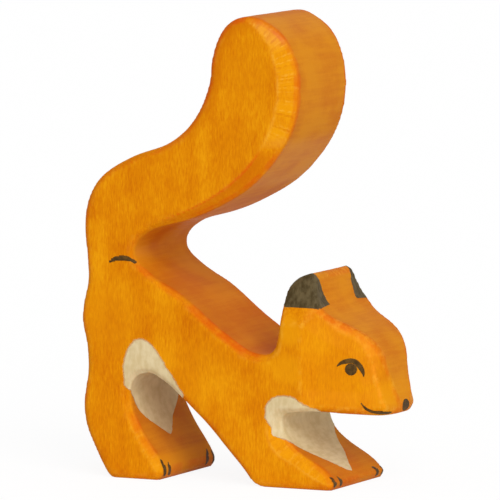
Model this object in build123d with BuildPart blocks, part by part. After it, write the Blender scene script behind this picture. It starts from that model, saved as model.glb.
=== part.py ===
from build123d import *
from math import cos, radians, sin, tan
import os

# Painted wooden squirrel, sawn from one board, bevelled by hand, stained and painted.
# Millimetres, +Z up, +X towards the nose, the board's thickness along Y.
# The origin is on the table under the middle of the figure. The left side is +Y.

# Driving sizes
figure_length = 60.7
figure_height = 86.2
board_thickness = 24.0
widest_bevel = 3.75
roll_depth = 0.12
cheek_angle = 20.8
ear_lean = 24.2
paint_thickness = 0.15
paint_clearance = 0.02
pupil_radius = 1.1
nose_spot_width = 3.0
nose_spot_height = 2.3
line_width = 0.7
claw_width = 0.75

# How far a cutting tool runs past the wood, and how much it has left to sand off
overrun = 3.0
sanding_allowance = 0.25

half_thickness = board_thickness / 2

# The sawn outline, stretch by stretch, anticlockwise as seen from the right side.
# Each point is its share of the length, from the rump, and its share of the height.
# After the points come the bevel at the stretch's end: its width as a share of the
# widest bevel, and the half-width of the sawn strip as a share of half the thickness.
saw_line_shares = {
    "crotch": ([(0.188, 0.468), (0.177, 0.491), (0.191, 0.512), (0.226, 0.532)], (0.13, 0.92)),
    "tail_underside": (
        [(0.326, 0.555), (0.464, 0.594), (0.565, 0.638), (0.656, 0.706), (0.714, 0.791)],
        (0.99, 0.88),
    ),
    "tail_club": ([(0.723, 0.853), (0.708, 0.914)], (0.93, 0.88)),
    "tail_tip": ([(0.661, 0.967), (0.604, 0.993), (0.551, 1.0)], (0.16, 0.93)),
    "tail_back": ([(0.494, 0.985), (0.453, 0.944), (0.433, 0.886), (0.414, 0.825)], (0.16, 0.94)),
    "tail_root": ([(0.366, 0.767), (0.284, 0.722), (0.168, 0.692)], (0.16, 0.94)),
    "rump": ([(0.067, 0.649), (0.019, 0.593), (0.008, 0.534), (0.017, 0.464)], (0.16, 0.94)),
    "thigh": ([(0.020, 0.429), (0.004, 0.375), (0.0, 0.331), (0.016, 0.274)], (0.16, 0.94)),
    "hock": ([(0.019, 0.232), (0.006, 0.172), (0.011, 0.116), (0.049, 0.053)], (0.16, 0.94)),
    "hind_heel": ([(0.073, 0.023), (0.090, 0.006), (0.114, 0.0)], (0.11, 0.96)),
    "hind_sole": ([(0.244, 0.0)], (0.11, 0.96)),
    "hind_toe": ([(0.268, 0.006), (0.274, 0.019), (0.266, 0.035)], (0.29, 0.92)),
    "shin": ([(0.221, 0.083), (0.185, 0.126), (0.165, 0.165)], (0.27, 0.92)),
    "arch": ([(0.162, 0.197), (0.188, 0.223), (0.231, 0.229), (0.273, 0.216)], (0.13, 0.95)),
    "belly": ([(0.343, 0.177), (0.428, 0.123), (0.498, 0.070), (0.559, 0.022)], (0.13, 0.95)),
    "front_heel": ([(0.575, 0.007), (0.596, 0.0)], (0.11, 0.96)),
    "front_sole": ([(0.818, 0.0)], (0.11, 0.96)),
    "front_toe": ([(0.840, 0.005), (0.845, 0.015), (0.835, 0.026)], (0.35, 0.91)),
    "foreleg": ([(0.734, 0.0745), (0.686, 0.107)], (0.77, 0.88)),
    "throat": ([(0.668, 0.132), (0.668, 0.147), (0.681, 0.158), (0.709, 0.162)], (0.16, 0.93)),
    "jaw": ([(0.808, 0.163), (0.899, 0.159)], (0.21, 0.63)),
    "chin": ([(0.965, 0.157), (0.985, 0.158), (0.999, 0.169)], (0.36, 0.14)),
    "muzzle": ([(0.998, 0.188), (0.983, 0.228), (0.969, 0.267), (0.952, 0.303)], (0.54, 0.50)),
    "brow": ([(0.925, 0.326), (0.883, 0.345), (0.834, 0.363), (0.800, 0.382)], (0.40, 0.87)),
    "ear_front": ([(0.778, 0.407), (0.766, 0.434), (0.756, 0.452)], (0.11, 0.71)),
    "ear_tip": ([(0.745, 0.4565), (0.726, 0.453)], (0.08, 0.70)),
    "ear_back": ([(0.696, 0.442), (0.678, 0.425), (0.670, 0.399)], (0.13, 0.83)),
    "nape": ([(0.662, 0.354), (0.657, 0.319)], (0.13, 0.94)),
    "neck": ([(0.646, 0.296), (0.625, 0.284), (0.594, 0.283)], (0.29, 0.92)),
    "back": ([(0.519, 0.305), (0.429, 0.349), (0.325, 0.405), (0.223, 0.447)], (0.11, 0.93)),
}
# How far the soft roll behind each bevel reaches, as a share of the bevel's width
roll_share = 1.25

# Where the head's facets start and what their cutting tools cover
cheek_ridge_share = 0.737
ear_foot_share = 0.354
head_floor_share = 0.11
head_top_share = 0.50
nape_share = 0.618

# Painted patches: points on the side faces as shares of length and height, then the two
# banks of the patch on the leg's front, from its tip up, as shares of half the thickness
# and of the height. A reach is the span of the length that paint on a leg's front covers.
belly_outline_shares = [
    (0.350, 0.186), (0.325, 0.210), (0.299, 0.237), (0.273, 0.264), (0.249, 0.286),
    (0.224, 0.299), (0.199, 0.303), (0.178, 0.296), (0.159, 0.276), (0.147, 0.250),
    (0.147, 0.223), (0.153, 0.196),
]
belly_closing_shares = [(0.194, 0.172), (0.320, 0.165)]
belly_tip_shares = (-0.10, 0.084)
belly_bank_shares = [
    [(-0.17, 0.091), (-0.47, 0.117), (-0.73, 0.147), (-0.89, 0.190), (-1.1, 0.205)],
    [(0.09, 0.100), (0.27, 0.119), (0.66, 0.151), (0.89, 0.190), (1.1, 0.205)],
]
belly_reach_shares = (0.145, 0.255)
chest_outline_shares = [
    (0.672, 0.107), (0.658, 0.117), (0.642, 0.129), (0.629, 0.141), (0.622, 0.156),
    (0.626, 0.174), (0.639, 0.188), (0.660, 0.196), (0.686, 0.198), (0.712, 0.195),
    (0.752, 0.181), (0.790, 0.166),
]
chest_closing_shares = [(0.800, 0.145), (0.714, 0.130), (0.690, 0.108)]
chest_tip_shares = (-0.10, 0.030)
chest_bank_shares = [
    [(-0.25, 0.037), (-0.47, 0.058), (-0.67, 0.079), (-0.87, 0.100), (-1.1, 0.130)],
    [(0.02, 0.045), (0.22, 0.057), (0.44, 0.070), (0.75, 0.102), (1.1, 0.130)],
]
chest_reach_shares = (0.642, 0.881)

# Ear paint, seen from the front: half-width and height shares of its corners
ear_paint_shares = [(0.49, 0.391), (0.63, 0.470), (1.2, 0.470), (1.2, 0.384)]

# Places of the nose spot and the eye, and strokes as points with their width's share.
# The eyelid's points and its width are in pupil radii, from the pupil's centre.
nose_up_share = 0.175
eye_shares = (0.882, 0.2576)
eyelid_width_share = 0.80
eyelid_shares = [
    (-2.35, 0.45, 0.1), (-1.6, 1.06, 0.7), (-0.5, 1.38, 1.0), (0.5, 1.37, 1.0),
    (1.36, 0.65, 1.1), (1.9, -0.2, 0.85), (2.12, -1.25, 0.1),
]
mouth_shares = [
    (0.911, 0.186, 0.1), (0.923, 0.175, 0.6), (0.943, 0.166, 0.9), (0.964, 0.163, 0.9),
    (0.977, 0.163, 0.6), (0.986, 0.165, 0.1),
]
rump_line_shares = [
    (0.099, 0.465, 0.1), (0.118, 0.472, 0.8), (0.142, 0.475, 1.0), (0.167, 0.473, 0.9),
    (0.187, 0.4665, 0.2),
]
# How far in from the side face the rump line's brush reaches, as a share of half the thickness
rump_line_depth_share = 0.08
# Claws, seen from the front: share of half the thickness, height share and width share
right_hind_claw_shares = [
    [(-0.87, 0.042, 0.1), (-0.86, 0.031, 0.8), (-0.85, 0.020, 1.0), (-0.83, 0.008, 0.3)],
    [(-0.68, 0.034, 0.1), (-0.69, 0.026, 0.8), (-0.695, 0.017, 1.0), (-0.67, 0.007, 0.3)],
]
left_hind_claw_shares = [
    [(0.72, 0.0385, 0.1), (0.68, 0.030, 0.8), (0.65, 0.021, 1.0), (0.61, 0.010, 0.3)],
    [(0.85, 0.035, 0.1), (0.885, 0.028, 0.8), (0.895, 0.020, 1.0), (0.86, 0.009, 0.3)],
]
right_front_claw_shares = [
    [(-0.91, 0.030, 0.1), (-0.885, 0.0225, 0.8), (-0.86, 0.014, 1.0), (-0.85, 0.006, 0.3)],
    [(-0.70, 0.0275, 0.1), (-0.66, 0.020, 0.8), (-0.635, 0.0125, 1.0), (-0.615, 0.006, 0.3)],
]
left_front_claw_shares = [
    [(0.565, 0.026, 0.1), (0.66, 0.021, 0.8), (0.69, 0.014, 1.0), (0.665, 0.006, 0.3)],
    [(0.845, 0.0245, 0.1), (0.895, 0.018, 0.8), (0.90, 0.013, 1.0), (0.86, 0.007, 0.3)],
]
hind_toe_reach_shares = (0.214, 0.315)
front_toe_reach_shares = (0.780, 0.881)


def along(share):
    """Place along the figure, from a share of its length."""
    return (share - 0.5) * figure_length


def up(share):
    """Height above the table, from a share of the figure's height."""
    return share * figure_height


def side_half_width(x, z):
    """Half-width of the figure at a place on its side: flat face, cheek or ear facet."""
    flat = half_thickness - roll_depth
    if x < along(nape_share) or not up(head_floor_share) < z < up(head_top_share):
        return flat
    cheek = half_thickness - (x - along(cheek_ridge_share)) * tan(radians(cheek_angle))
    ear = half_thickness - (z - up(ear_foot_share)) * tan(radians(ear_lean))
    return min(flat, cheek + sanding_allowance, ear + sanding_allowance)


def read_saw_line():
    """Lists the outline's points with their bevel, strip half-width and stretch number."""
    stations = []
    stretches = list(saw_line_shares.values())
    bevel_before, strip_before = stretches[-1][1]
    for number, (places, (bevel_after, strip_after)) in enumerate(stretches):
        for step, (along_share, up_share) in enumerate(places, 1):
            share = step / len(places)
            bevel = bevel_before + (bevel_after - bevel_before) * share
            strip = strip_before + (strip_after - strip_before) * share
            point = Vector(along(along_share), 0, up(up_share))
            stations.append((point, bevel * widest_bevel, strip * half_thickness, number))
        bevel_before, strip_before = bevel_after, strip_after
    return stations


def direction_at(points, numbers, k):
    """Direction of a closed line at point k: of a straight stretch if one ends or starts there."""
    after_k = (k + 1) % len(points)
    before = points[k] - points[k - 1]
    after = points[after_k] - points[k]
    if numbers.count(numbers[k]) == 1:
        return before.normalized()
    if numbers[after_k] != numbers[k] and numbers.count(numbers[after_k]) == 1:
        return after.normalized()
    return (before.normalized() * after.length + after.normalized() * before.length).normalized()


def ring(side, level, growth):
    """Closed wire round the figure: 0 the strip's edge, 1 the bevel's inner edge, 2 the face's edge."""
    stations = read_saw_line()
    numbers = [number for _, _, _, number in stations]
    flat_points = [point for point, _, _, _ in stations]
    points = []
    for k, (point, bevel, strip, _) in enumerate(stations):
        direction = direction_at(flat_points, numbers, k)
        inward = Vector(-direction.Z, 0, direction.X)
        edge = point + inward * (0, bevel, bevel * roll_share)[level]
        half_width = (strip, side_half_width(edge.X, edge.Z), half_thickness)[level]
        grown = edge - inward * growth
        points.append(Vector(grown.X, side * (half_width + growth), grown.Z))
    edges = []
    for number in sorted(set(numbers)):
        inside = [k for k, of in enumerate(numbers) if of == number]
        span = [points[inside[0] - 1]] + [points[k] for k in inside]
        with BuildLine() as line:
            if len(inside) == 1:
                Line(*span)
            else:
                first = direction_at(points, numbers, inside[0] - 1)
                last = direction_at(points, numbers, inside[-1])
                Spline(*span, tangents=[first, last])
        edges.append(line.edge())
    return Wire(edges)


def bevelled_board(growth):
    """The sawn board with its bevels, as one loft through the rings of both sides."""
    levels = [(1, 2), (1, 1), (1, 0), (-1, 0), (-1, 1), (-1, 2)]
    return Solid.make_loft([ring(side, level, growth) for side, level in levels], ruled=True)


def carve_head(growth):
    """Sands both cheeks and both ears flat, as slanted facets."""
    cheek_slope = tan(radians(cheek_angle))
    cheek_face = half_thickness + growth / cos(radians(cheek_angle))
    ridge = along(cheek_ridge_share)
    nose_end = along(1) + overrun
    outside = cheek_face + overrun * cheek_slope
    with BuildSketch(Plane.XY.offset(up(head_floor_share))) as cheek_cut:
        with BuildLine():
            Polyline(
                (ridge - overrun, -outside),
                (nose_end, -outside),
                (nose_end, -cheek_face + (nose_end - ridge) * cheek_slope),
                close=True,
            )
        make_face()
        mirror(about=Plane.XZ)
    extrude(cheek_cut.sketch, amount=up(head_top_share - head_floor_share), mode=Mode.SUBTRACT)

    ear_slope = tan(radians(ear_lean))
    ear_face = half_thickness + growth / cos(radians(ear_lean))
    foot, top = up(ear_foot_share), up(head_top_share)
    outside = ear_face + overrun * ear_slope
    with BuildSketch(Plane.YZ.offset(along(nape_share))) as ear_cut:
        with BuildLine():
            Polyline(
                (-outside, foot - overrun),
                (-ear_face + (top - foot) * ear_slope, top),
                (-outside, top),
                close=True,
            )
        make_face()
        mirror(about=Plane.YZ)
    extrude(ear_cut.sketch, amount=nose_end - along(nape_share), mode=Mode.SUBTRACT)


def stroke(points, width):
    """Draws a brush stroke through points (x, y, share of the width), in a sketch."""
    spots = [Vector(x, y) for x, y, _ in points]
    left_bank, right_bank = [], []
    for k, (_, _, share) in enumerate(points):
        step = spots[min(k + 1, len(spots) - 1)] - spots[max(k - 1, 0)]
        across = Vector(-step.Y, step.X).normalized() * (width * share / 2)
        left_bank.append(spots[k] + across)
        right_bank.append(spots[k] - across)
    with BuildLine() as banks:
        Spline(*left_bank)
        Spline(*right_bank)
        Line(left_bank[0], right_bank[0])
        Line(left_bank[-1], right_bank[-1])
    make_face(banks.edges())


def paint_patch(outline_shares, closing_shares, tip_shares, bank_shares, reach_shares):
    """Paints a patch over both side faces and down the leg's front to a tip, in a part."""
    outline = [(along(x_share), up(z_share)) for x_share, z_share in outline_shares]
    closing = [(along(x_share), up(z_share)) for x_share, z_share in closing_shares]
    with BuildSketch(Plane.XZ.offset(half_thickness + overrun)) as side_view:
        with BuildLine() as edge:
            Spline(*outline)
            Polyline(outline[-1], *closing, outline[0])
        make_face(edge.edges())
    extrude(side_view.sketch, amount=-(board_thickness + 2 * overrun))

    tip = (tip_shares[0] * half_thickness, up(tip_shares[1]))
    right_bank, left_bank = [[(y * half_thickness, up(z)) for y, z in bank] for bank in bank_shares]
    with BuildSketch(Plane.YZ.offset(along(reach_shares[0]))) as front_view:
        with BuildLine() as edge:
            Spline(tip, *right_bank)
            Spline(tip, *left_bank)
            Line(right_bank[-1], left_bank[-1])
        make_face(edge.edges())
    extrude(front_view.sketch, amount=along(reach_shares[1]) - along(reach_shares[0]))
    add(paint_skin.part, mode=Mode.INTERSECT)


def paint_claws(claw_shares, reach_shares):
    """Paints the two claws of one foot on its toe, in a part."""
    with BuildSketch(Plane.YZ.offset(along(reach_shares[0]))) as claws:
        for claw in claw_shares:
            stroke([(y * half_thickness, up(z), w) for y, z, w in claw], claw_width)
    extrude(claws.sketch, amount=along(reach_shares[1]) - along(reach_shares[0]))
    add(paint_skin.part, mode=Mode.INTERSECT)


def cheek_plane(x_share, z_share):
    """Plane on the right cheek at a place, facing outwards, with its x towards the nose."""
    x = along(x_share)
    y = -half_thickness + (x - along(cheek_ridge_share)) * tan(radians(cheek_angle))
    lean = radians(cheek_angle)
    return Plane((x, y, up(z_share)), x_dir=(cos(lean), sin(lean), 0), z_dir=(sin(lean), -cos(lean), 0))


# The one piece of wood
with BuildPart() as wood_body:
    add(bevelled_board(0))
    carve_head(0)
wood_body.part.label = "wood_body"

# A skin of paint all over, a hair's breadth off the wood, which the coats are cut from
with BuildPart() as under_paint:
    add(bevelled_board(paint_clearance))
    carve_head(paint_clearance)

with BuildPart() as paint_skin:
    add(bevelled_board(paint_thickness))
    carve_head(paint_thickness)
    add(under_paint.part, mode=Mode.SUBTRACT)

# Cream patches
with BuildPart() as belly_patch:
    paint_patch(
        belly_outline_shares, belly_closing_shares, belly_tip_shares, belly_bank_shares, belly_reach_shares
    )
belly_patch.part.label = "belly_patch"

with BuildPart() as chest_patch:
    paint_patch(
        chest_outline_shares, chest_closing_shares, chest_tip_shares, chest_bank_shares, chest_reach_shares
    )
chest_patch.part.label = "chest_patch"

# Dark paint on the nose and on the four feet, whose claws all differ a little
with BuildPart() as nose_paint:
    with BuildSketch(Plane.YZ.offset(along(1) - overrun)):
        with Locations((0, up(nose_up_share))):
            Ellipse(nose_spot_width / 2, nose_spot_height / 2)
    extrude(amount=2 * overrun)
    add(paint_skin.part, mode=Mode.INTERSECT)
nose_paint.part.label = "nose_paint"

with BuildPart() as right_hind_claws:
    paint_claws(right_hind_claw_shares, hind_toe_reach_shares)
right_hind_claws.part.label = "right_hind_claws"

with BuildPart() as left_hind_claws:
    paint_claws(left_hind_claw_shares, hind_toe_reach_shares)
left_hind_claws.part.label = "left_hind_claws"

with BuildPart() as right_front_claws:
    paint_claws(right_front_claw_shares, front_toe_reach_shares)
right_front_claws.part.label = "right_front_claws"

with BuildPart() as left_front_claws:
    paint_claws(left_front_claw_shares, front_toe_reach_shares)
left_front_claws.part.label = "left_front_claws"

# Dark paint on the right side
with BuildPart() as right_ear_paint:
    with BuildSketch(Plane.YZ.offset(along(nape_share))):
        with BuildLine():
            Polyline([(-y * half_thickness, up(z)) for y, z in ear_paint_shares], close=True)
        make_face()
    extrude(amount=along(1) - along(nape_share))
    add(paint_skin.part, mode=Mode.INTERSECT)
right_ear_paint.part.label = "right_ear_paint"

with BuildPart() as right_pupil:
    with BuildSketch(cheek_plane(*eye_shares)):
        Circle(pupil_radius)
    extrude(amount=overrun, both=True)
    add(paint_skin.part, mode=Mode.INTERSECT)
right_pupil.part.label = "right_pupil"

with BuildPart() as right_eyelid:
    with BuildSketch(cheek_plane(*eye_shares)):
        lid_points = [(x * pupil_radius, y * pupil_radius, w) for x, y, w in eyelid_shares]
        stroke(lid_points, eyelid_width_share * pupil_radius)
    extrude(amount=overrun, both=True)
    add(paint_skin.part, mode=Mode.INTERSECT)
right_eyelid.part.label = "right_eyelid"

with BuildPart() as right_mouth_line:
    with BuildSketch(Plane.XZ):
        stroke([(along(x), up(z), w) for x, z, w in mouth_shares], line_width)
    extrude(amount=half_thickness + overrun)
    add(paint_skin.part, mode=Mode.INTERSECT)
right_mouth_line.part.label = "right_mouth_line"

with BuildPart() as right_rump_line:
    with BuildSketch(Plane.XZ.offset(half_thickness * (1 - rump_line_depth_share))):
        stroke([(along(x), up(z), w) for x, z, w in rump_line_shares], line_width)
    extrude(amount=overrun)
    add(paint_skin.part, mode=Mode.INTERSECT)
right_rump_line.part.label = "right_rump_line"

# Each coat of the right side has its mirror image on the left
pieces = [wood_body, belly_patch, chest_patch, nose_paint]
pieces += [right_hind_claws, left_hind_claws, right_front_claws, left_front_claws]
for right_coat in (right_ear_paint, right_pupil, right_eyelid, right_mouth_line, right_rump_line):
    with BuildPart() as left_coat:
        mirror(right_coat.part, about=Plane.XZ)
    left_coat.part.label = right_coat.part.label.replace("right", "left")
    pieces += [right_coat, left_coat]

os.makedirs("parts", exist_ok=True)
for piece in pieces:
    export_step(piece.part, "parts/" + piece.part.label + ".step")
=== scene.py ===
import logging
from dataclasses import dataclass
from enum import Enum
from math import atan2, cos, degrees, hypot, radians, sin
from typing import Union

import bmesh
import bpy
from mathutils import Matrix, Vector
from mathutils.kdtree import KDTree


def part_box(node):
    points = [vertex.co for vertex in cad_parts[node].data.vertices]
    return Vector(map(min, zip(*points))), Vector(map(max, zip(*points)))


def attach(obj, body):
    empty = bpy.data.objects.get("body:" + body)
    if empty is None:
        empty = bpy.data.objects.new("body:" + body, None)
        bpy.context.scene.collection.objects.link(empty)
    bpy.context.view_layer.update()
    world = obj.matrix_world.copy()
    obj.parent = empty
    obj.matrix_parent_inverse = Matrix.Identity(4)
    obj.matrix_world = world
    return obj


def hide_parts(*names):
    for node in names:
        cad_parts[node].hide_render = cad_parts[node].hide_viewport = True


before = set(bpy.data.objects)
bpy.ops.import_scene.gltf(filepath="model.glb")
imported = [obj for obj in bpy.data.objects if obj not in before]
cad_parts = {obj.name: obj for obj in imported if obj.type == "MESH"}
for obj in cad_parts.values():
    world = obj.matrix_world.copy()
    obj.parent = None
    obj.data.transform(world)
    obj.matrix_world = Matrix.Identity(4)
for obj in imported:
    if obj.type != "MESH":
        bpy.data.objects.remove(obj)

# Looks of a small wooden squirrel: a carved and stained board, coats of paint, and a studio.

log = logging.getLogger("squirrel")
MM = 0.001
MIDDLE = 0.5  # of a noise pattern's values
BODY = "root"

Triple = tuple[float, float, float]
Colour = tuple[float, float, float, float]
Ramp = tuple[float, float]
Spots = tuple[tuple[float, float, float, float], ...]
Input = Union["Wire", float, int, bool, str, tuple, bpy.types.ID]


def paint(red: int, green: int, blue: int) -> Colour:
    """Linear colour of a paint that is written as screen values.

    Args:
        red: Red from 0 to 255, as a screen shows it.
        green: Green from 0 to 255.
        blue: Blue from 0 to 255.

    Returns:
        The linear red, green, blue and alpha that a node socket takes.
    """
    knee, slope, lift, power = 0.04045, 12.92, 0.055, 2.4
    shares = [value / 255 for value in (red, green, blue)]
    return (*(s / slope if s <= knee else ((s + lift) / (1 + lift)) ** power for s in shares), 1.0)


class Wire:
    """One output socket of a node tree. Python's operators on it add Math nodes."""

    def __init__(self, bench: "Bench", socket: bpy.types.NodeSocket) -> None:
        """Wraps an output socket of the tree that a bench works on."""
        self.bench = bench
        self.socket = socket

    def out(self, name: str) -> "Wire":
        """Another output of the same node, by name."""
        return Wire(self.bench, self.socket.node.outputs[name])

    def math(self, operation: str, other: Input = 0.0, swapped: bool = False) -> "Wire":
        """Adds one Math node.

        Args:
            operation: The Math node's operation.
            other: The second value.
            swapped: Whether the second value comes first.

        Returns:
            The Math node's result.
        """
        first, second = (other, self) if swapped else (self, other)
        return self.bench.node("ShaderNodeMath", {"operation": operation}, {0: first, 1: second})

    def __add__(self, other: Input) -> "Wire":
        """Sum."""
        return self.math("ADD", other)

    def __radd__(self, other: Input) -> "Wire":
        """Sum, with a number first."""
        return self.math("ADD", other, swapped=True)

    def __sub__(self, other: Input) -> "Wire":
        """Difference."""
        return self.math("SUBTRACT", other)

    def __rsub__(self, other: Input) -> "Wire":
        """Difference, with a number first."""
        return self.math("SUBTRACT", other, swapped=True)

    def __mul__(self, other: Input) -> "Wire":
        """Product."""
        return self.math("MULTIPLY", other)

    def __rmul__(self, other: Input) -> "Wire":
        """Product, with a number first."""
        return self.math("MULTIPLY", other, swapped=True)

    def __neg__(self) -> "Wire":
        """The value with its sign turned."""
        return self.math("MULTIPLY", -1.0)

    def swing(self, strength: float) -> "Wire":
        """How far a noise value swings from its middle, times a strength."""
        return (self - MIDDLE) * strength

    def between(self, low: float, high: float) -> "Wire":
        """Runs from low to high while this value runs from 0 to 1."""
        return low + self * (high - low)


class Bench:
    """A node tree under construction, for a finish or for a shape."""

    def __init__(self, tree: bpy.types.NodeTree) -> None:
        """Starts on the tree that gets the nodes."""
        self.tree = tree

    def node(self, kind: str, settings: dict | None = None, inputs: dict | None = None,
             output: int | str = 0) -> Wire:
        """Adds any node.

        Args:
            kind: The node's type.
            settings: Its own settings, and a ramp's stops under the name stops.
            inputs: Values or links of its sockets, by socket name or number.
            output: The output that the result stands for.

        Returns:
            That output.
        """
        made = self.tree.nodes.new(kind)
        for name, value in (settings or {}).items():
            if name == "stops":
                self._set_stops(made.color_ramp, value)
            else:
                setattr(made, name, value)
        for name, value in (inputs or {}).items():
            if isinstance(value, Wire):
                self.tree.links.new(value.socket, made.inputs[name])
            else:
                made.inputs[name].default_value = value
        return Wire(self, made.outputs[output])

    @staticmethod
    def _set_stops(ramp: bpy.types.ColorRamp, stops: list[tuple[float, tuple]]) -> None:
        """Gives a colour ramp its stops, each a place and a colour."""
        while len(ramp.elements) < len(stops):
            ramp.elements.new(1.0)
        for element, (place, colour) in zip(ramp.elements, stops):
            element.position = place
            element.color = colour

    def noise(self, place: Input, scale: float, detail: float = 2.0, rough: float = 0.5) -> Wire:
        """Soft random values around one half.

        Args:
            place: Vector that the pattern lies in.
            scale: How fine the pattern is.
            detail: How many finer layers it has.
            rough: How strong the finer layers are.

        Returns:
            The pattern's value.
        """
        inputs = {"Vector": place, "Scale": scale, "Detail": detail, "Roughness": rough}
        return self.node("ShaderNodeTexNoise", {"noise_dimensions": "3D"}, inputs)

    def line_noise(self, place: Input, scale: float, detail: float) -> Wire:
        """Soft random values along a line, which the place runs along."""
        inputs = {"W": place, "Scale": scale, "Detail": detail}
        return self.node("ShaderNodeTexNoise", {"noise_dimensions": "1D"}, inputs)

    def step(self, value: Input, low: Input, high: Input) -> Wire:
        """Rises smoothly from 0 at low to 1 at high."""
        inputs = {"Value": value, "From Min": low, "From Max": high}
        return self.node("ShaderNodeMapRange", {"interpolation_type": "SMOOTHSTEP"}, inputs)

    def blend(self, share: Input, first: Input, second: Input) -> Wire:
        """Colour between two colours, the second where share is 1."""
        return self.node("ShaderNodeMix", {"data_type": "RGBA"}, {0: share, 6: first, 7: second}, 2)


class Finish(Bench):
    """Node tree of one procedural material."""

    def __init__(self, name: str) -> None:
        """Makes an empty material under the finish's name."""
        self.material = bpy.data.materials.new(name)
        self.material.use_nodes = True
        super().__init__(self.material.node_tree)
        self.tree.nodes.clear()
        place = self.node("ShaderNodeTexCoord", output="Object")
        inputs = {0: place, "Scale": 1 / MM}
        self.place = self.node("ShaderNodeVectorMath", {"operation": "SCALE"}, inputs)

    def mark(self, name: str) -> Wire:
        """Value that the piece's mesh stores under a name."""
        return self.node("ShaderNodeAttribute", {"attribute_name": name}, output="Fac")

    def pattern(self, density: Triple, detail: float, rough: float) -> Wire:
        """Soft random values with their own density per millimetre along x, y and z."""
        dense = self.node("ShaderNodeMapping", {}, {"Vector": self.place, "Scale": density})
        return self.noise(dense, 1.0, detail, rough)

    def bump(self, strength: float, depth: float, height: Wire) -> Wire:
        """Normal bent by unevenness too fine for the mesh, with its depth in millimetres."""
        inputs = {"Strength": strength, "Distance": depth * MM, "Height": height}
        return self.node("ShaderNodeBump", {}, inputs)

    def close(self, shader: Wire) -> bpy.types.Material:
        """Ends the tree with a shader and gives the material."""
        end = self.tree.nodes.new("ShaderNodeOutputMaterial")
        self.tree.links.new(shader.socket, end.inputs["Surface"])
        return self.material


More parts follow.
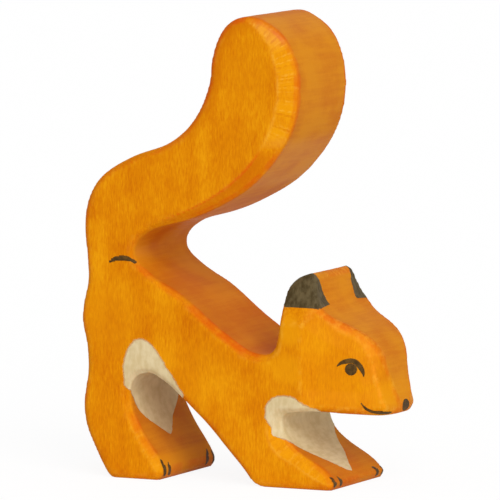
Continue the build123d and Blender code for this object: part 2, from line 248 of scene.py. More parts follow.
@dataclass(frozen=True)
class StainedWood:
    """Orange water stain on a pale, close-grained board, worked by hand.

    Attributes:
        deep_and_shade: Where the stain went in deepest, and the painted shade on the faces' rim and
            on bevels that face away from the light.
        warm: The usual colour of the side faces.
        bright_and_highlight: Where the board took little stain, and the painted highlight on bevels
            that face the light.
        sawn: The sawn strip, seen across the board.
        sawn_deep: Where that strip took more stain.
        soaked: Where the stain stood longest, and the painted shade in the hollows and on the sawn
            strip below the tail and the head.
        brow_rubbed_and_lit: The bevels of the head, which are rubbed paler and carry a painted
            highlight where they face up.
        pigment: Stain gathered along an arris.
        scuff_and_highlight: Worn arrises, and the painted highlight along lit ridges and on the
            tool's strokes across lit bevels.
        roughness: Mean roughness.
        grain_height: Depth of the open grain in millimetres.
        gloss: Strength of the plain reflections.
        sheen: Strength of the smoother film on the sawn strip.
        sheen_roughness: Roughness of that film.
        glance: Strength that the film gains where light glances off the sawn strip.
        bevel_glance: The same on the light bevels.
    """

    deep_and_shade: Colour = paint(206, 110, 2)
    warm: Colour = paint(223, 134, 3)
    bright_and_highlight: Colour = paint(238, 158, 10)
    sawn: Colour = paint(221, 139, 18)
    sawn_deep: Colour = paint(208, 116, 12)
    soaked: Colour = paint(190, 84, 8)
    brow_rubbed_and_lit: Colour = paint(250, 152, 34)
    pigment: Colour = paint(216, 84, 8)
    scuff_and_highlight: Colour = paint(248, 182, 60)
    roughness: float = 0.62
    grain_height: float = 0.010
    gloss: float = 0.03
    sheen: float = 0.07
    sheen_roughness: float = 0.4
    glance: float = 0.13
    bevel_glance: float = 0.85

    def make(self) -> bpy.types.Material:
        """Builds the material, from the plain faces up to the arrises."""
        shading, paling = 0.75, 0.7
        tree = WoodTree()
        colour = tree.blend(tree.strip, self._face(tree), self._sawn_strip(tree))
        # Painted shade on the faces' rounded rim, where it turns away from the light.
        colour = tree.blend(tree.mark("shade") * shading, colour, self.deep_and_shade)
        colour = tree.blend(tree.mark("pale") * paling, colour, self.bright_and_highlight)
        colour = self._arrises(tree, self._bevels(tree, colour))
        relief = tree.fibre * 0.5 + tree.fine * 0.5
        shader = tree.node("ShaderNodeBsdfPrincipled", {}, {
            "Base Color": colour, "Roughness": self.roughness + tree.fine.swing(0.25),
            "Normal": tree.bump(strength=0.6, depth=self.grain_height, height=relief),
            "Specular IOR Level": self.gloss, "Coat Weight": self._film(tree),
            "Coat Roughness": self.sheen_roughness})
        return tree.close(shader)

    def _face(self, tree: "WoodTree") -> Wire:
        """Colour of the side faces, which take the stain unevenly along fibres and rings."""
        growth = tree.pattern((0.42, 0.55, 0.030), detail=2.0, rough=0.5)
        along_fibres = tree.fibre.swing(1.1) + tree.fine.swing(1.1)
        uptake = along_fibres + growth.swing(0.6) + tree.cloud.swing(1.3)
        stops = [(0.0, self.deep_and_shade), (0.5, self.warm), (1.0, self.bright_and_highlight)]
        return tree.node("ShaderNodeValToRGB", {"stops": stops}, {"Fac": uptake + MIDDLE})

    def _sawn_strip(self, tree: "WoodTree") -> Wire:
        """Colour of the sawn strip, with the saw's marks across it, and darker places where more
        stain went in and where painted shade lies below the tail and the head.
        """
        soaking = 0.6
        saw = tree.pattern((1.4, 0.10, 1.4), detail=3.0, rough=0.55)
        uptake = saw.swing(0.8) + tree.fine.swing(0.5) + tree.cloud.swing(1.6)
        share = tree.step(uptake + MIDDLE, low=0.15, high=0.85)
        colour = tree.blend(share, self.sawn, self.sawn_deep)
        # Darker where more stain went in, and painted shade below the tail, below the head and in
        # the hollow between the legs.
        return tree.blend(tree.soak * soaking, colour, self.soaked)

    def _bevels(self, tree: "WoodTree", colour: Wire) -> Wire:
        """Bevels over a colour: rubbed pale or stained dark, with a painted highlight where they
        face the light and painted shade where they face away, and the tool's strokes across.
        """
        darkening, stroke, only_lightest, elsewhere = 0.80, 0.45, 3.0, 40.0
        daub = tree.strokes(tree.run, scale=0.35, low=0.35, high=0.60, detail=2.0)
        # Painted highlight on bevels that face the light, partly rubbed pale.
        rubbed = tree.worked * tree.rubbed_and_lit * daub.between(0.35, 0.75)
        colour = tree.blend(rubbed, colour, self.bright_and_highlight)
        # Painted shade on bevels that face away from the light, partly stained dark.
        colour = tree.blend(tree.worked * tree.stained_and_shaded * darkening, colour, self.deep_and_shade)
        # The head's bevels that face up: rubbed paler, with a painted highlight.
        brow_rubbed_and_lit = tree.worked * tree.head * tree.tone * daub.between(0.35, 0.60)
        colour = tree.blend(brow_rubbed_and_lit, colour, self.brow_rubbed_and_lit)

        # Tool strokes, shown only where the bevels carry the strongest painted highlight.
        broken = tree.patches(scale=1.0, low=0.36, high=0.60)
        marks = tree.worked * tree.rubbed_and_lit.math("POWER", only_lightest) * broken
        light = tree.strokes(tree.run, scale=1.5, low=0.50, high=0.64)
        colour = tree.blend(marks * light * stroke, colour, self.scuff_and_highlight)
        dark = tree.strokes(tree.run + elsewhere, scale=1.1, low=0.56, high=0.66)
        return tree.blend(marks * dark * stroke, colour, self.deep_and_shade)

    def _arrises(self, tree: "WoodTree", colour: Wire) -> Wire:
        """Arrises over a colour: stain gathered along some, while others are worn or dry; the
        ridges carry painted shade where their bevel faces away from the light, and a painted
        highlight where it faces the light.
        """
        gathering, faint, mottling, ridge_stain_and_shade = 0.9, 0.35, 0.22, 0.75
        arris = tree.mark("arris")
        by_outline = tree.step(tree.inset, low=1.5, high=0.5)
        mottle = tree.patches(scale=0.45, low=0.30, high=0.62)
        patchy = tree.patches(scale=0.14, low=0.44, high=0.60) * faint
        amount = (tree.stain * gathering).math("MAXIMUM", patchy)
        gathered = tree.step(arris, low=0.014, high=0.055) * by_outline * amount
        colour = tree.blend(gathered, colour, self.pigment)
        colour = tree.blend(tree.stain * tree.worked * mottle * mottling, colour, self.pigment)
        # Painted shade along ridges whose bevel faces away from the light, partly gathered stain.
        colour = tree.blend(tree.ridge * tree.stained_and_shaded * ridge_stain_and_shade, colour, self.pigment)
        # Painted highlight along ridges whose bevel faces the light, partly wear.
        worn = tree.ridge * tree.rubbed_and_lit * mottle.between(0.08, 0.42)
        colour = tree.blend(worn, colour, self.scuff_and_highlight)
        crumbs = tree.patches(scale=0.9, low=0.42, high=0.74, detail=3.0, rough=0.65)
        dry = tree.step(arris, low=0.012, high=0.050) * crumbs * tree.head.between(0.12, 0.38)
        return tree.blend(dry, colour, self.scuff_and_highlight)

    def _film(self, tree: "WoodTree") -> Wire:
        """Weight of the smooth film: a sheen on the sawn strip, and where light glances off."""
        dulling = 0.7
        on_strip = tree.glaze * self.glance + (1 - tree.soak * dulling) * self.sheen
        on_bevels = tree.worked * tree.rubbed_and_lit * tree.glaze * self.bevel_glance
        return tree.strip * on_strip + on_bevels


class WoodTree(Finish):
    """Node tree of the stained wood, with the patterns and marks that its layers share."""

    def __init__(self) -> None:
        """Makes the shared patterns and reads what the board's mesh stores."""
        super().__init__("orange_stained_wood")
        self.fibre = self.pattern((2.6, 2.6, 0.55), detail=3.0, rough=0.62)
        self.fine = self.pattern((5.5, 5.5, 0.9), detail=2.0, rough=0.6)
        self.cloud = self.noise(self.place, scale=0.11, detail=2.0, rough=0.55)
        self.run, self.inset = self.mark("run"), self.mark("inset")
        self.strip, self.worked, self.ridge = map(self.mark, ("strip", "bevel", "ridge"))
        self.stain, self.soak, self.glaze = map(self.mark, ("stain", "soak", "glaze"))
        self.head, self.tone = self.mark("head"), self.mark("tone")
        # Painted highlight on worked bevels that face the light, and painted shade on those that
        # face away, together with their wear.
        self.rubbed_and_lit = self.tone.math("MAXIMUM", 0.0) * (1 - self.head)
        inwards = self.step(self.inset, low=0.6, high=2.4)
        self.stained_and_shaded = (-self.tone).math("MAXIMUM", 0.0) * inwards.between(0.45, 1.0)

    def patches(self, scale: float, low: float, high: float, detail: float = 2.0,
                rough: float = 0.6) -> Wire:
        """Patches of a noise pattern, which start at its low value and are full at its high one."""
        return self.step(self.noise(self.place, scale, detail, rough), low, high)

    def strokes(self, run: Wire, scale: float, low: float, high: float,
                detail: float = 4.0) -> Wire:
        """Strokes across the bevels, made in the same way from a pattern along the outline."""
        return self.step(self.line_noise(run, scale, detail), low, high)


@dataclass(frozen=True)
class BrushedPaint:
    """Thin paint brushed on the wood, with soft edges.

    Attributes:
        name: The finish's name.
        thin: Colour where the brush left little.
        full: Colour where the film is full.
        cover: How much of the wood a full film hides.
        soft: Half the width of the fading rim, in millimetres.
        ragged: How far the rim wanders in millimetres.
        streak: Density of the brush streaks along x, y and z, per millimetre.
        waver: Density of the rim's wandering, per millimetre.
        roughness: Mean roughness.
        gloss: Strength of the plain reflections.
    """

    name: str
    thin: Colour
    full: Colour
    cover: float
    soft: float
    ragged: float
    streak: Triple
    waver: float = 1.7
    roughness: float = 0.55
    gloss: float = 0.12

    def make(self) -> bpy.types.Material:
        """Builds the material."""
        tree = Finish(self.name)
        streaks = tree.pattern(self.streak, detail=3.0, rough=0.6)
        blots = tree.noise(tree.place, scale=0.55, detail=2.0, rough=0.5)
        film = tree.step(streaks.swing(1.4) + blots.swing(1.2) + MIDDLE, low=0.1, high=0.9)
        colour = tree.blend(film, self.thin, self.full)
        wander = tree.noise(tree.place, self.waver, detail=2.0, rough=0.6).swing(2 * self.ragged)
        inside = tree.step(tree.mark("edge") + wander, -self.soft, self.soft)
        alpha = inside * (self.cover + (1 - self.cover) * film)
        shader = tree.node("ShaderNodeBsdfPrincipled", {}, {
            "Base Color": colour, "Roughness": self.roughness + streaks.swing(0.2),
            "Alpha": alpha, "Normal": tree.bump(strength=0.35, depth=0.02, height=streaks),
            "Specular IOR Level": self.gloss})
        return tree.close(shader)


@dataclass(frozen=True)
class PaleGround:
    """White studio ground, which keeps the shadow of what stands on it.

    Attributes:
        tint: Colour of the paper.
        glow: Share of plain white that the camera sees.
        white: Strength of that white, which lifts the lit paper to a full white.
    """

    tint: Colour = (0.96, 0.96, 0.96, 1.0)
    glow: float = 0.88
    white: float = 1.03

    def make(self) -> bpy.types.Material:
        """Builds the material."""
        tree = Finish("studio_paper")
        seen = seen_directly(tree)
        paper = tree.node("ShaderNodeBsdfDiffuse", {}, {"Color": self.tint})
        white = tree.node("ShaderNodeEmission", {}, {"Strength": self.white})
        mixed = tree.node("ShaderNodeMixShader", {}, {0: seen * self.glow, 1: paper, 2: white})
        return tree.close(mixed)


def seen_directly(tree: Bench) -> Wire:
    """1 for rays from the camera, and for what gloss and glass show of the background."""
    path = tree.node("ShaderNodeLightPath", output="Is Camera Ray")
    either = path.math("MAXIMUM", path.out("Is Glossy Ray"))
    return either.math("MAXIMUM", path.out("Is Transmission Ray"))


class Shape(Bench):
    """Geometry Nodes tree with named inputs, which a modifier runs on a piece."""

    def __init__(self, name: str, inputs: dict[str, str]) -> None:
        """Makes the tree with a geometry input and output.

        Args:
            name: The tree's name.
            inputs: Name and socket type of each further input.
        """
        super().__init__(bpy.data.node_groups.new(name, "GeometryNodeTree"))
        face = self.tree.interface
        face.new_socket("Geometry", in_out="INPUT", socket_type="NodeSocketGeometry")
        for title, kind in inputs.items():
            face.new_socket(title, in_out="INPUT", socket_type=kind)
        face.new_socket("Geometry", in_out="OUTPUT", socket_type="NodeSocketGeometry")
        self.given = self.node("NodeGroupInput")

    def input(self, name: str) -> Wire:
        """One of the tree's inputs."""
        return self.given.out(name)

    def vector(self, operation: str, first: Input, second: Input = None,
               output: int | str = 0) -> Wire:
        """Adds a Vector Math node.

        Args:
            operation: The node's operation.
            first: The first vector.
            second: The second vector, or the number that scales the first.
            output: The output that the result stands for.

        Returns:
            The node's result.
        """
        inputs = {0: first}
        if second is not None:
            inputs["Scale" if operation == "SCALE" else 1] = second
        return self.node("ShaderNodeVectorMath", {"operation": operation}, inputs, output)

    def store(self, geometry: Wire, name: str, value: Input) -> Wire:
        """Stores a value at each point of a mesh under a name."""
        inputs = {"Geometry": geometry, "Name": name, "Value": value}
        return self.node("GeometryNodeStoreNamedAttribute", {"data_type": "FLOAT"}, inputs)

    def close(self, geometry: Wire) -> bpy.types.NodeTree:
        """Ends the tree: smooth shading, real geometry and the material input."""
        smooth = self.node("GeometryNodeSetShadeSmooth", {}, {"Geometry": geometry})
        real = self.node("GeometryNodeRealizeInstances", {}, {"Geometry": smooth})
        dressed = self.node("GeometryNodeSetMaterial", {}, {
            "Geometry": real, "Material": self.input("Finish")})
        end = self.tree.nodes.new("NodeGroupOutput")
        self.tree.links.new(dressed.socket, end.inputs["Geometry"])
        return self.tree


def run_tree(piece: bpy.types.Object, tree: bpy.types.NodeTree, values: dict[str, object]) -> None:
    """Runs a Geometry Nodes tree on a piece and keeps the result as its plain mesh.

    Args:
        piece: The piece whose mesh goes in.
        tree: The tree.
        values: Values of the tree's inputs, by name.
    """
    modifier = piece.modifiers.new(tree.name, "NODES")
    modifier.node_group = tree
    for item in tree.interface.items_tree:
        if item.item_type == "SOCKET" and item.in_out == "INPUT" and item.name in values:
            modifier[item.identifier] = values[item.name]
    keep_result(piece)


def keep_result(piece: bpy.types.Object) -> None:
    """Turns a piece with modifiers into its plain finished mesh."""
    bpy.context.view_layer.update()
    graph = bpy.context.evaluated_depsgraph_get()
    made = bpy.data.meshes.new_from_object(piece.evaluated_get(graph), depsgraph=graph)
    piece.modifiers.clear()
    piece.data = made


def new_piece(name: str, mesh: bpy.types.Mesh) -> bpy.types.Object:
    """Puts a mesh in the scene as a piece at the origin."""
    piece = bpy.data.objects.new(name, mesh)
    bpy.context.scene.collection.objects.link(piece)
    return piece


def merged_copy(node: str) -> bpy.types.Mesh:
    """Copy of a CAD node's mesh with its loose triangles joined."""
    weld = 1e-6
    work = bmesh.new()
    work.from_mesh(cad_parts[node].data)
    bmesh.ops.remove_doubles(work, verts=work.verts, dist=weld)
    mesh = bpy.data.meshes.new(node + "_copy")
    work.to_mesh(mesh)
    work.free()
    return mesh


@dataclass
class CarvedBoard:
    """The figure's wood: a sawn board with bevels worked by hand.

    Attributes:
        node: CAD node that the piece stands for.
        even: Spacing of the evened mesh in millimetres.
        softening: How many times the arrises are sanded.
        swell_height: How far the sanded faces swell, in millimetres.
        swell_size: How long a swell is, in millimetres.
        mark_height: Depth of the tool marks on the bevels, in millimetres.
        mark_pitch: Distance between tool marks in millimetres.
        round_width: How far in from the outline the faces are sanded round, in millimetres.
        round_depth: How much that takes off at the outline, in millimetres.
        strip_facing: How far the surface faces sideways where the sawn strip starts and is full.
        bevel_facing: The same for a bevel, at its steep side and at its flat side.
        ridge_facing: The same for the ridge between a bevel and the side face.
        bevel_reach: How far in from the outline a bevel can lie, in millimetres.
        bevel_fade: Over what length a bevel fades out before that, in millimetres.
        head_start: Where the head starts along the figure, and its lowest and highest point.
        head_fade: Over what length the head's marks fade in, in millimetres.
        tail_low: Height above which the tail is, in millimetres.
        tail_light: Heights between which the tail's front bevel turns from dark to light, from
            painted shade low down to a painted highlight higher up.
        shade_insets: How far in from the outline shading starts and is full, in millimetres.
        stain_spots: Where stain gathered on the arrises: along, up, reach and strength.
        pale_spots: Where the faces took little stain, in the same way.
        soak_spots: Where the sawn strip took much stain, and where painted shade lies on it below
            the tail, below the head and between the legs, in the same way.
        shade_spots: Where painted shade darkens the faces' rounded rim as it turns away from the
            light, in the same way.
        glaze_spots: Where the wood is rubbed smooth and light glances off it, in the same way.
        worn_corners: Rounded heels of the feet: the arc's middle along and up, its radius, and the
            angle below rearwards at which it starts.
    """

    node: str = "wood_body"
    even: float = 0.41
    softening: int = 2
    swell_height: float = 0.10
    swell_size: float = 9.0
    mark_height: float = 0.025
    mark_pitch: float = 0.9
    round_width: float = 3.0
    round_depth: float = 0.20
    strip_facing: Ramp = (0.60, 0.30)
    bevel_facing: tuple[Ramp, Ramp] = ((0.45, 0.70), (0.975, 0.955))
    ridge_facing: tuple[Ramp, Ramp] = ((0.945, 0.960), (0.994, 0.980))
    bevel_reach: float = 4.6
    bevel_fade: float = 0.8
    head_start: Triple = (7.0, 12.0, 42.0)
    head_fade: float = 2.0
    tail_low: float = 48.0
    tail_light: Ramp = (59.0, 65.0)
    shade_insets: Ramp = (3.6, 0.8)
    stain_spots: Spots = (
        (14.0, 78, 3.0, 0.35), (14.2, 74.5, 2.6, 0.6), (14.0, 71, 3.0, 0.4),
        (10.0, 83.2, 2.6, 0.65), (12.5, 81, 2.5, 0.3), (6.0, 86, 2.0, 0.5),
        (9.0, 58.8, 3.5, 0.5), (4.5, 55.5, 3.5, 0.5), (0.0, 52.0, 3.5, 0.5), (-5.0, 50.0, 3.5, 0.5),
        (-4.0, 72, 4.0, 0.6), (-3.0, 78, 4.0, 0.6), (-1.5, 83, 3.5, 0.6), (1.5, 86, 2.5, 0.8),
        (-7.0, 31.0, 3.0, 0.6), (-4.5, 29.0, 3.0, 0.7), (-1.5, 26.5, 3.0, 0.8),
        (1.5, 25.0, 3.0, 0.8), (4.5, 23.5, 2.6, 0.7), (-12.0, 35.5, 3.5, 0.4),
        (-16.5, 39.5, 3.0, 0.5), (17.5, 32.8, 2.4, 0.4), (20.0, 31.6, 2.4, 0.6),
        (22.5, 30.6, 2.4, 0.6), (25.5, 29.8, 2.4, 0.35), (-20.0, 10.0, 3.0, 0.5),
        (-17.0, 6.0, 3.0, 0.4))
    pale_spots: Spots = (
        (12.0, 29, 4.0, 0.9), (12.0, 22, 4.0, 0.8), (29.0, 17, 4.0, 0.7), (32.0, 17, 3.0, 0.6),
        (22.0, 20, 7.0, 0.45), (18.0, 26, 6.0, 0.3), (-12.5, 22, 3.0, 0.6), (11.5, 17, 3.0, 0.3),
        (4.0, 76, 6.0, 0.25), (-24.0, 30, 9.0, 0.3), (-6.0, 20, 8.0, 0.25),
        (-14.5, 3.0, 2.5, 0.7), (9.0, 24, 4.0, 0.4))
    soak_spots: Spots = (
        (-17.0, 42.0, 6.0, 0.15), (-9.0, 38.0, 9.0, 0.45), (-1.0, 32.0, 9.0, 0.7),
        (7.0, 27.0, 8.0, 0.75), (26.0, 5.0, 9.0, 1.0), (19.0, 11.0, 8.0, 0.85),
        (14.0, 14.0, 6.0, 0.5), (-14.0, 12.0, 6.0, 0.1))
    shade_spots: Spots = (
        (-5.5, 66, 6.0, 0.6), (-4.5, 72, 6.0, 1.0), (-3.5, 78, 6.0, 1.0), (-1.5, 83, 6.0, 1.0),
        (2.0, 86, 5.0, 0.8), (-12.0, 58, 6.0, 0.3))
    glaze_spots: Spots = ((10.0, 60, 5.0, 1.0), (6.0, 56.5, 5.0, 0.8), (8.0, 84, 5.0, 0.35))
    worn_corners: Spots = ((-23.32, 3.0, 3.0, 24.5), (7.27, 4.0, 4.0, 41.5))

    def build(self) -> bpy.types.Object:
        """Makes the piece.

        Returns:
            The finished board.
        """
        piece = new_piece("carved_board", merged_copy(self.node))
        outline = self._outline(piece.data)
        remesh = piece.modifiers.new("even", "REMESH")
        remesh.mode = "VOXEL"
        remesh.voxel_size = self.even * MM
        keep_result(piece)
        self._measure(piece.data, outline)
        run_tree(piece, self._working_tree(), {
            "Softening": self.softening, "Swell height": self.swell_height * MM,
            "Swell size": self.swell_size * MM, "Mark height": self.mark_height * MM,
            "Mark pitch": self.mark_pitch * MM, "Round width": self.round_width,
            "Round depth": self.round_depth * MM, "Finish": StainedWood().make()})
        self._keep_in_box(piece.data)
        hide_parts(self.node)
        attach(piece, BODY)
        return piece

    def _outline(self, mesh: bpy.types.Mesh) -> list[Vector]:
        """Sawn outline of the board, from a cut through its middle.

        Args:
            mesh: The merged mesh of the board.

        Returns:
            Points in order round the figure, a quarter of a millimetre apart. They start at
            its highest point and run rearwards, whatever order the mesh is in.
        """
        spacing = 0.25 * MM
        work = bmesh.new()
        work.from_mesh(mesh)
        everything = work.verts[:] + work.edges[:] + work.faces[:]
        cut = bmesh.ops.bisect_plane(work, geom=everything, plane_co=(0, 0, 0), plane_no=(0, 1, 0))
        rim = {e for e in cut["geom_cut"] if isinstance(e, bmesh.types.BMEdge)}
        here = max((v for e in rim for v in e.verts), key=lambda v: v.co.z)
        corners = [here.co.copy()]
        while ways := [(e.other_vert(here).co.x, e) for e in here.link_edges if e in rim]:
            _, onward = min(ways, key=lambda way: way[0])
            rim.discard(onward)
            here = onward.other_vert(here)
            corners.append(here.co.copy())
        work.free()
        points = []
        for start, end in zip(corners, corners[1:] + corners[:1]):
            count = max(1, round((end - start).length / spacing))
            points += [start.lerp(end, k / count) for k in range(count)]
        return points

    def _measure(self, mesh: bpy.types.Mesh, outline: list[Vector]) -> None:
        """Stores at each point of the board where it lies, how it was worked and stained, and where
        painted light and shade lie on it.

        Args:
            mesh: The evened mesh.
            outline: Points round the figure.
        """
        nearest = KDTree(len(outline))
        runs, run = [], 0.0
        for k, point in enumerate(outline):
            nearest.insert(point, k)
            run += (point - outline[k - 1]).length if k else 0.0
            runs.append(run)
        nearest.balance()
        rows = []
        for vertex, normal in zip(mesh.vertices, mesh.vertex_normals):
            _, k, inset = nearest.find(Vector((vertex.co.x, 0, vertex.co.z)))
            other_side = runs[-1] if vertex.co.y > 0 else 0
            rows.append({
                "run": (runs[k] + other_side) / MM, "inset": inset / MM,
                **self._marks(vertex.co, Vector(normal.vector), inset / MM)})
        for name in rows[0]:
            attribute = mesh.attributes.new(name, "FLOAT", "POINT")
            attribute.data.foreach_set("value", [row[name] for row in rows])

    def _marks(self, place: Vector, normal: Vector, inset: float) -> dict[str, float]:
        """How one point of the board was worked and stained, and the painted light and shade on it.

        Args:
            place: The point.
            normal: The surface's direction there.
            inset: How far in from the outline it lies, in millimetres.

        Returns:
            The value of each mark, by name.
        """
        x, z = place.x / MM, place.z / MM
        sideways = abs(normal.y)
        start, low, high = self.head_start
        near = smooth_step(inset, self.bevel_reach, self.bevel_reach - self.bevel_fade)
        bevel_start, bevel_end = self.bevel_facing
        ridge_start, ridge_end = self.ridge_facing
        in_head = smooth_step(x, start, start + self.head_fade) if low < z < high else 0.0
        by_outline = smooth_step(inset, *self.shade_insets)
        return {
            "strip": smooth_step(sideways, *self.strip_facing),
            "bevel": smooth_step(sideways, *bevel_start) * smooth_step(sideways, *bevel_end) * near,
            "ridge": smooth_step(sideways, *ridge_start) * smooth_step(sideways, *ridge_end) * near,
            "head": in_head,
            # Painted highlight and painted shade on the bevels by how they face, along with their
            # wear.
            "tone": self._wear_and_light(x, z, normal),
            "stain": nearness(x, z, self.stain_spots),
            "pale": nearness(x, z, self.pale_spots),
            # Painted shade below the tail and the head, along with where the strip took much stain.
            "soak": nearness(x, z, self.soak_spots),
            "glaze": nearness(x, z, self.glaze_spots),
            # Painted shade on the faces' rounded rim.
            "shade": nearness(x, z, self.shade_spots) * by_outline}

    def _wear_and_light(self, x: float, z: float, normal: Vector) -> float:
        """How light the hand-worked bevel came out, as wear and as painted light: 1 is light,
        rubbed pale with a painted highlight where it faces the light; -1 is dark, stained with
        painted shade where it faces away.

        Args:
            x: Place along the figure in millimetres.
            z: Height in millimetres.
            normal: The surface's direction.

        Returns:
            The tone.
        """
        start, low, high = self.head_start
        facing_forwards, facing_up = (-0.1, 0.15), (-0.05, 0.10)
        muzzle, leg_top, leg_wear_and_light = (start + 7.0, start + 9.5), (low + 1.0, low - 2.0), 0.8
        # Bevels that face forwards or up get the painted highlight, and those that face back or
        # down get the painted shade.
        forwards = smooth_step(normal.x, *facing_forwards)
        if z > self.tail_low:
            return 2 * smooth_step(z, *self.tail_light) * forwards - 1
        if x > start and low < z < high:
            return smooth_step(normal.z, *facing_up) * smooth_step(x, *muzzle)
        return leg_wear_and_light * smooth_step(z, *leg_top) * forwards

    def _working_tree(self) -> bpy.types.NodeTree:
        """Sands the arrises soft, lets the faces swell and cuts tool marks into the bevels.

        Returns:
            The tree.
        """
        length = "NodeSocketFloat"
        tree = Shape("hand_working", {
            "Softening": "NodeSocketInt", "Swell height": length, "Swell size": length,
            "Mark height": length, "Mark pitch": length, "Round width": length,
            "Round depth": length, "Finish": "NodeSocketMaterial"})
        wide_blur, spread = 6, 1
        place = tree.node("GeometryNodeInputPosition")
        normal = tree.node("GeometryNodeInputNormal")
        blur = {"data_type": "FLOAT_VECTOR"}
        soft = tree.node("GeometryNodeBlurAttribute", blur, {
            "Value": place, "Iterations": tree.input("Softening")})
        sanded = tree.node("GeometryNodeSetPosition", {}, {
            "Geometry": tree.input("Geometry"), "Position": soft})

        blurred = tree.node("GeometryNodeBlurAttribute", blur, {
            "Value": place, "Iterations": wide_blur})
        proud = tree.vector("DOT_PRODUCT", tree.vector("SUBTRACT", place, blurred), normal, "Value")
        arris = tree.node("GeometryNodeBlurAttribute", {"data_type": "FLOAT"}, {
            "Value": proud * (1 / MM), "Iterations": spread})
        marked = tree.store(sanded, "arris", arris)

        density = tree.input("Swell size").math("DIVIDE", 1.0, swapped=True)
        swell = tree.noise(tree.vector("SCALE", place, density), scale=1.0, detail=1.0)
        run, inset, strip, bevel = [
            tree.node("GeometryNodeInputNamedAttribute", {"data_type": "FLOAT"}, {"Name": name})
            for name in ("run", "inset", "strip", "bevel")]
        pitch = tree.input("Mark pitch").math("DIVIDE", MM, swapped=True)
        strokes = tree.line_noise(run * pitch, scale=1.0, detail=1.0)
        cut = swell * tree.input("Swell height") + strokes * bevel * tree.input("Mark height")
        inwards = inset.math("DIVIDE", tree.input("Round width"))
        by_outline = (1 - inwards).math("MAXIMUM", 0.0)
        cut = cut + by_outline * by_outline * (1 - strip) * tree.input("Round depth")
        worked = tree.node("GeometryNodeSetPosition", {}, {
            "Geometry": marked, "Offset": tree.vector("SCALE", normal, -cut)})
        return tree.close(tree.node("GeometryNodeTriangulate", {}, {"Mesh": worked}))

    def _keep_in_box(self, mesh: bpy.types.Mesh) -> None:
        """Keeps every point inside the CAD board's box, and the soles flat on the table."""
        sole_height, downwards = 0.45 * MM, -0.8
        low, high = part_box(self.node)
        normals = [n.vector.z for n in mesh.vertex_normals]
        for vertex, normal in zip(mesh.vertices, normals):
            vertex.co = [min(max(c, a), b) for c, a, b in zip(vertex.co, low, high)]
            if vertex.co.z < sole_height and normal < downwards:
                vertex.co.z = 0.0
            self._wear(vertex)

    def _wear(self, vertex: bpy.types.MeshVertex) -> None:
        """Rounds the heels of both feet."""
        straight_down = 90.0
        for along, up, radius, start in self.worn_corners:
            x, z = vertex.co.x / MM - along, vertex.co.z / MM - up
            reach, angle = hypot(x, z), degrees(atan2(-z, -x))
            if reach > radius and start < angle < straight_down:
                vertex.co.x = (along + x * radius / reach) * MM
                vertex.co.z = (up + z * radius / reach) * MM


def smooth_step(value: float, low: float, high: float) -> float:
    """Rises smoothly from 0 at low to 1 at high, or falls where low is above high."""
    share = min(max((value - low) / (high - low), 0.0), 1.0)
    return share * share * (3 - 2 * share)


def nearness(x: float, z: float, spots: Spots) -> float:
    """Strength of the strongest spot at a place, fading out to each spot's reach.

    Args:
        x: Place along the figure in millimetres.
        z: Height in millimetres.
        spots: Along, up, reach and strength of each spot.

    Returns:
        The strength, from 0 to 1.
    """
    core = 0.4
    return max(
        strength * smooth_step(((x - along) ** 2 + (z - up) ** 2) ** 0.5, reach, core * reach)
        for along, up, reach, strength in spots)


class Coat(Enum):
    """The kinds of paint on the figure: record slot and finish."""

    CREAM = ("cream_paint", BrushedPaint(
        "cream_paint", thin=paint(216, 193, 144), full=paint(226, 207, 164), cover=0.94,
        soft=0.28, ragged=0.20, streak=(1.4, 0.35, 0.35), waver=1.2))
    EAR = ("dark_brown_paint", BrushedPaint(
        "dark_ear_paint", thin=paint(104, 90, 60), full=paint(66, 52, 24), cover=0.90,
        soft=0.16, ragged=1.3, streak=(1.6, 1.6, 0.3), waver=0.45))
    LINE = ("dark_brown_paint", BrushedPaint(
        "dark_line_paint", thin=paint(104, 74, 28), full=paint(66, 46, 16), cover=0.90,
        soft=0.09, ragged=0.06, streak=(1.5, 1.5, 1.5)))


@dataclass
class PaintFilm:
    """One coat of paint that follows the carved wood.

    Attributes:
        name: The piece's name.
        node: CAD node that it stands for.
        coat: The kind of paint.
        fineness: How many times the wood's own mesh is divided.
        height: Thickness of the film in millimetres.
        reach: How far the film's mesh runs past the coat's edge, in millimetres.
        spread: How far the paint itself runs past that edge, in millimetres.
        easing: How many times the edge's corners are eased.
    """

    name: str
    node: str
    coat: Coat
    fineness: int = 2
    height: float = 0.03
    reach: float = 0.45
    spread: float = 0.0
    easing: int = 1

    def build(self, wood: bpy.types.Object, tree: bpy.types.NodeTree,
              finish: bpy.types.Material) -> bpy.types.Object:
        """Makes the piece.

        Args:
            wood: The finished board.
            tree: The film's Geometry Nodes tree.
            finish: The paint's material.

        Returns:
            The finished film.
        """
        piece = new_piece(self.name, wood.data.copy())
        piece.data.materials.clear()
        run_tree(piece, tree, {
            "Coat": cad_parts[self.node], "Fineness": self.fineness,
            "Height": self.height * MM, "Reach": self.reach * MM, "Spread": self.spread,
            "Easing": self.easing, "Finish": finish})
        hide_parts(self.node)
        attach(piece, BODY)
        return piece


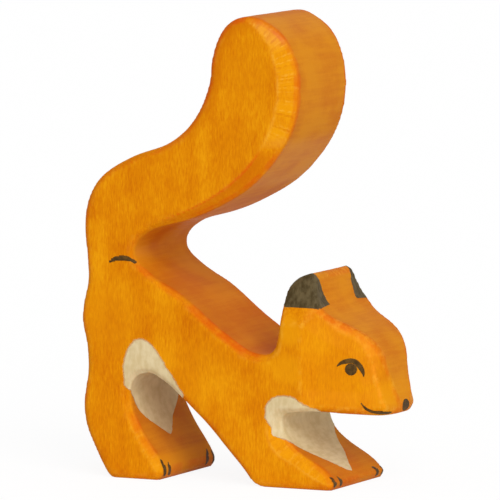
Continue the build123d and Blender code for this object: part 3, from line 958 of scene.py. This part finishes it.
def film_tree() -> bpy.types.NodeTree:
    """Tree that lifts a film off the wood where a CAD coat lies.

    It also stores each point's distance to the coat's edge, which is positive under the coat.
    A short ray runs through each face of the coat, along its normal. The faces whose ray
    misses the wood are the coat's rim.

    Returns:
        The tree.
    """
    length = "NodeSocketFloat"
    tree = Shape("paint_film", {
        "Coat": "NodeSocketObject", "Fineness": "NodeSocketInt", "Height": length,
        "Reach": length, "Spread": length, "Easing": "NodeSocketInt",
        "Finish": "NodeSocketMaterial"})
    probe, behind, through = 2.0 * MM, 0.5 * MM, 2.0 * MM
    wood = tree.input("Geometry")
    place = tree.node("GeometryNodeInputPosition")
    normal = tree.node("GeometryNodeInputNormal")
    coat = tree.node("GeometryNodeObjectInfo", {}, {"Object": tree.input("Coat")}, "Geometry")

    def meets(target: Wire, start: Wire, reach: float) -> Wire:
        """Whether a ray from a start along the normal meets a mesh."""
        return tree.node("GeometryNodeRaycast", {}, {
            "Target Geometry": target, "Source Position": start, "Ray Direction": normal,
            "Ray Length": reach}, "Is Hit")

    def distance(target: Wire) -> Wire:
        """Distance of each point to the faces of a mesh."""
        return tree.node("GeometryNodeProximity", {"target_element": "FACES"}, {
            "Geometry": target, "Sample Position": place}, "Distance")

    outside = tree.vector("SUBTRACT", place, tree.vector("SCALE", normal, through / 2))
    rim = tree.node("GeometryNodeSeparateGeometry", {"domain": "FACE"}, {
        "Geometry": coat, "Selection": meets(wood, outside, through)}, "Inverted")
    far = tree.node("FunctionNodeCompare", {"data_type": "FLOAT", "operation": "GREATER_THAN"}, {
        "A": distance(coat), "B": tree.input("Reach")})
    near = tree.node("GeometryNodeDeleteGeometry", {"domain": "POINT"}, {
        "Geometry": wood, "Selection": far})
    fine = tree.node("GeometryNodeSubdivideMesh", {}, {
        "Mesh": near, "Level": tree.input("Fineness")})

    start = tree.vector("SUBTRACT", place, tree.vector("SCALE", normal, behind))
    to_rim = distance(rim) * (1 / MM)
    signed = tree.node("GeometryNodeSwitch", {"input_type": "FLOAT"}, {
        "Switch": meets(coat, start, probe), "False": -to_rim, "True": to_rim})
    eased = tree.node("GeometryNodeBlurAttribute", {"data_type": "FLOAT"}, {
        "Value": signed, "Iterations": tree.input("Easing")})
    marked = tree.store(fine, "edge", eased + tree.input("Spread"))
    lifted = tree.node("GeometryNodeSetPosition", {}, {
        "Geometry": marked, "Offset": tree.vector("SCALE", normal, tree.input("Height"))})
    return tree.close(lifted)


@dataclass(frozen=True)
class Mark:
    """A small painted mark that both sides of the figure have.

    Attributes:
        name: The pieces' name after their side.
        node: The CAD nodes' name after their side.
        coat: The kind of paint.
        height: Thickness of the film in millimetres.
        spreads: How far the paint runs past its coat on the right and on the left, in millimetres.
    """

    name: str
    node: str
    coat: Coat = Coat.LINE
    height: float = 0.03
    spreads: tuple[float, float] = (0.0, 0.0)

    def films(self) -> list[PaintFilm]:
        """The mark's film on the right, then the one on the left."""
        return [
            PaintFilm(f"{side}_{self.name}", f"{side}_{self.node}", self.coat,
                      height=self.height, spread=spread)
            for side, spread in zip(("right", "left"), self.spreads)]


@dataclass
class PaintWork:
    """All the coats of paint on the figure.

    Attributes:
        patches: The two cream patches and the nose, which lie across the figure's middle.
        marks: The marks that both sides have. The eyelid's film lies over the pupil's.
    """

    patches: tuple[PaintFilm, ...] = (
        PaintFilm("belly_paint", "belly_patch", Coat.CREAM, fineness=1, reach=1.5, easing=12),
        PaintFilm("chest_paint", "chest_patch", Coat.CREAM, fineness=1, reach=1.5, easing=12),
        PaintFilm("nose_spot", "nose_paint", Coat.LINE))
    marks: tuple[Mark, ...] = (
        Mark("ear_tip_paint", "ear_paint", Coat.EAR, spreads=(0.0, 0.25)),
        Mark("pupil_dot", "pupil"),
        Mark("eyelid_stroke", "eyelid", height=0.045),
        Mark("mouth_stroke", "mouth_line"),
        Mark("rump_stroke", "rump_line", spreads=(0.13, 0.13)),
        Mark("hind_claw_strokes", "hind_claws", spreads=(0.28, 0.28)),
        Mark("front_claw_strokes", "front_claws", spreads=(0.28, 0.28)))

    def films(self) -> list[PaintFilm]:
        """Lists every film: the patches and the nose, then the marks of both sides."""
        return [*self.patches, *(film for mark in self.marks for film in mark.films())]

    def build(self, wood: bpy.types.Object) -> list[bpy.types.Object]:
        """Makes every film.

        Args:
            wood: The finished board.

        Returns:
            The finished films.
        """
        tree = film_tree()
        finishes = {coat: coat.value[1].make() for coat in Coat}
        return [film.build(wood, tree, finishes[film.coat]) for film in self.films()]


@dataclass
class Studio:
    """Camera, lamp, even light from all round, and floor.

    Attributes:
        target: Point that the camera looks at, in millimetres.
        azimuth: Camera's angle round the figure, in degrees.
        elevation: Camera's angle above the table, in degrees.
        distance: From the target to the camera, in millimetres.
        lens: Focal length in millimetres.
        sensor: Width of the camera's sensor in millimetres.
        ambient: Strength of the even light from all round.
    """

    target: Triple = (-1.33, 0.0, 42.2)
    azimuth: float = 25.51
    elevation: float = 5.84
    distance: float = 1362.0
    lens: float = 531.7
    sensor: float = 36.0
    ambient: float = 0.49

    def build(self) -> None:
        """Sets the camera, the lamp, the world and the floor."""
        scene = bpy.context.scene
        scene.view_settings.view_transform = "Standard"
        self._camera(scene)
        self._lamp("key_lamp", azimuth=40.0, elevation=32.0, spread=46.0, strength=1.8)
        self._world(scene)
        self._floor()

    def _direction(self, azimuth: float, elevation: float) -> Vector:
        """Direction from the figure outwards; azimuth 0 is in front of its right side."""
        a, e = radians(azimuth), radians(elevation)
        return Vector((sin(a) * cos(e), -cos(a) * cos(e), sin(e)))

    def _camera(self, scene: bpy.types.Scene) -> None:
        """Places the camera at the photograph's viewing angle."""
        nearest, farthest = 0.1, 20.0
        data = bpy.data.cameras.new("view_camera")
        data.lens, data.sensor_width = self.lens, self.sensor
        data.clip_start, data.clip_end = nearest, farthest
        camera = bpy.data.objects.new("view_camera", data)
        out = self._direction(self.azimuth, self.elevation)
        camera.location = (Vector(self.target) + out * self.distance) * MM
        self._aim(camera, out)
        scene.collection.objects.link(camera)
        scene.camera = camera

    def _lamp(self, name: str, azimuth: float, elevation: float, spread: float,
              strength: float) -> None:
        """Adds a wide soft light from far away, even over the figure and the whole floor.

        Args:
            name: The lamp's name.
            azimuth: Its angle round the figure, in degrees.
            elevation: Its angle above the table, in degrees.
            spread: How wide the light looks from the figure, in degrees.
            strength: Its strength.
        """
        data = bpy.data.lights.new(name, "SUN")
        data.angle, data.energy = radians(spread), strength
        lamp = bpy.data.objects.new(name, data)
        out = self._direction(azimuth, elevation)
        lamp.location = Vector(self.target) * MM + out
        self._aim(lamp, out)
        bpy.context.scene.collection.objects.link(lamp)

    @staticmethod
    def _aim(thing: bpy.types.Object, out: Vector) -> None:
        """Turns a camera or a lamp so that it looks against a direction."""
        thing.rotation_mode = "QUATERNION"
        thing.rotation_quaternion = (-out).to_track_quat("-Z", "Y")

    def _world(self, scene: bpy.types.Scene) -> None:
        """Lights the figure evenly from all round, and shows plain white to the camera."""
        world = bpy.data.worlds.new("studio_world")
        world.use_nodes = True
        tree = Bench(world.node_tree)
        tree.tree.nodes.clear()
        strength = seen_directly(tree) * (1 - self.ambient) + self.ambient
        light = tree.node("ShaderNodeBackground", {}, {"Color": (1, 1, 1, 1), "Strength": strength})
        end = tree.tree.nodes.new("ShaderNodeOutputWorld")
        tree.tree.links.new(light.socket, end.inputs["Surface"])
        scene.world = world

    def _floor(self) -> None:
        """Lays the pale floor under the figure."""
        half = 4.0
        mesh = bpy.data.meshes.new("studio_floor")
        corners = [(-half, -half, 0), (half, -half, 0), (half, half, 0), (-half, half, 0)]
        mesh.from_pydata(corners, [], [(0, 1, 2, 3)])
        floor = new_piece("studio_floor", mesh)
        floor.data.materials.append(PaleGround().make())


def main() -> None:
    """Builds the figure's looks and the studio, and logs each piece's face count."""
    logging.basicConfig(level=logging.INFO, format="%(message)s")
    for leftover in [o for o in bpy.data.objects if o.type in ("CAMERA", "LIGHT")]:
        bpy.data.objects.remove(leftover)
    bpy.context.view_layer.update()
    wood = CarvedBoard().build()
    for piece in [wood, *PaintWork().build(wood)]:
        log.info("%s: %d faces", piece.name, len(piece.data.polygons))
    Studio().build()


if __name__ == "__main__":
    main()
